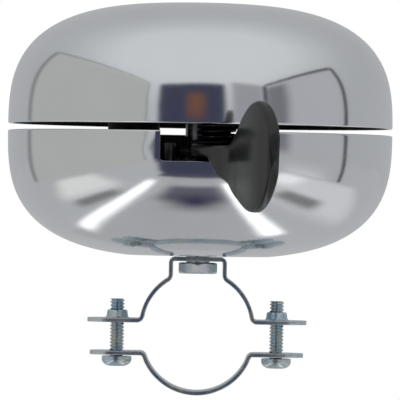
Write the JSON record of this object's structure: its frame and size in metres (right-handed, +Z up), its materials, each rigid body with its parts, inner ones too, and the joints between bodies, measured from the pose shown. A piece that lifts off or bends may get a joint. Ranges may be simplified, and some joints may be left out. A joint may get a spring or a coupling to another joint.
{
  "type": "bicycle bell",
  "caption": "Two-tone lever bell: two facing chromed domes with a gap, a slot for the thumb lever, a hammer mechanism inside, and a two-part handlebar clamp below.",
  "frame": {"origin": "centre of the clamp's fixed upper saddle, on the handlebar's axis, in the middle of the strap's width", "axes": "+Z up along the bell's axis from the clamp to the crown, +Y along the handlebar away from the thumb lever, +X to the right seen from the lever's side"},
  "size_m": [0.08, 0.1049, 0.0814],
  "materials": {
    "chrome": "polished, mirror bright",
    "zinc": "zinc plated, bluish, satin",
    "steel": "plain, satin",
    "spring_steel": "oiled, dark",
    "brass": "plain",
    "lever_plastic": "moulded, dark grey, semi-gloss",
    "gear_plastic": "moulded, black"
  },
  "bodies": {
    "housing": {"upper_dome": "chrome", "upper_dome_boss": "steel", "lower_dome": "chrome", "center_post": "zinc", "seat_washer": "steel", "plate_spacer": "steel", "mechanism_plate": "steel", "plate_nut": "zinc", "post_nut": "zinc", "lever_pivot_pin": "steel", "lever_clip": "spring_steel", "lever_stop_pin": "steel", "spring_anchor_pin": "steel", "hammer_pivot_pin": "steel", "hammer_pin_clip": "spring_steel", "lever_return_spring": "spring_steel", "clamp_upper_strap": "zinc"},
    "lever": {"thumb_lever": "lever_plastic"},
    "hammers": {"hammer_carrier": "gear_plastic", "lower_leaf_spring": "spring_steel", "lower_leaf_rivet_1": "brass", "lower_leaf_rivet_2": "brass", "lower_hammer": "steel", "lower_hammer_pin": "brass", "upper_leaf_spring": "spring_steel", "upper_leaf_rivet_1": "brass", "upper_leaf_rivet_2": "brass", "upper_hammer": "steel", "upper_hammer_pin": "brass"},
    "lower_clamp": {"clamp_lower_strap": "zinc"},
    "screw_left": {"clamp_screw_left": "zinc"},
    "screw_right": {"clamp_screw_right": "zinc"}
  },
  "joints": [
    {"name": "lever_swing", "type": "hinge", "parent": "housing", "child": "lever", "pos_m": [0.0034, -0.022, 0.0353], "axis": [0, 0, -1], "range_deg": [0, 15], "stiffness_Nm_per_rad": 0.15, "springref_deg": -20.05, "deforming": ["lever_return_spring"]},
    {"name": "hammer_swing", "type": "hinge", "parent": "housing", "child": "hammers", "pos_m": [-0.0138, -0.0015, 0.0353], "axis": [0, 0, 1], "range_deg": [0, 22.5]},
    {"name": "screw_left_turn", "type": "hinge", "parent": "lower_clamp", "child": "screw_left", "pos_m": [-0.0166, 0, -0.0055], "axis": [0, 0, 1], "range_deg": [-2057, 2571]},
    {"name": "screw_right_turn", "type": "hinge", "parent": "lower_clamp", "child": "screw_right", "pos_m": [0.0166, 0, -0.0055], "axis": [0, 0, 1], "range_deg": [-2057, 2571]},
    {"name": "clamp_close", "type": "slide", "parent": "housing", "child": "lower_clamp", "axis": [0, 0, 1], "range_m": [-0.004, 0.005]}
  ],
  "couplings": [
    {"joint": "hammer_swing", "follows": "lever_swing", "ratio": 1.5},
    {"joint": "clamp_close", "follows": "screw_left_turn", "m_per_rad": 0.00011141},
    {"joint": "screw_right_turn", "follows": "screw_left_turn", "ratio": 1}
  ]
}
